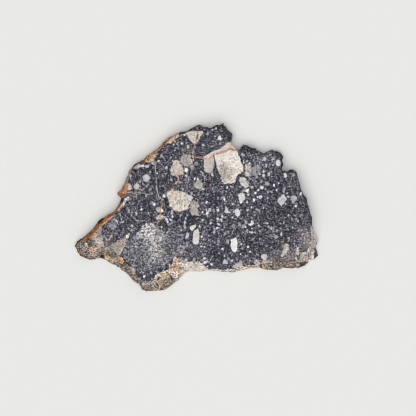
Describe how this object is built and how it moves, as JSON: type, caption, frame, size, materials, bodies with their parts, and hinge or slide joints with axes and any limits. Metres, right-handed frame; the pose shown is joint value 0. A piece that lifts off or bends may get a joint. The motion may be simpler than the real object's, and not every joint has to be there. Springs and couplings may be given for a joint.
{
  "type": "lunar meteorite slice",
  "caption": "Thin flat slice of a dark lunar breccia with pale angular clasts, sawn top and underside, a sloping weathered rim on one side and a rough broken rim on the other.",
  "frame": {"origin": "middle of the slice's plan, on the sawn underside that it rests on", "axes": "+X along the length, to the right in the picture; +Y across, up in the picture; +Z out of the sawn top face"},
  "size_m": [0.055, 0.038, 0.0032],
  "materials": {
    "meteorite_slice": "sawn and lapped matt on both flat faces, rough on the rim"
  },
  "bodies": {
    "root": {"meteorite_slice": "meteorite_slice"}
  },
  "joints": []
}
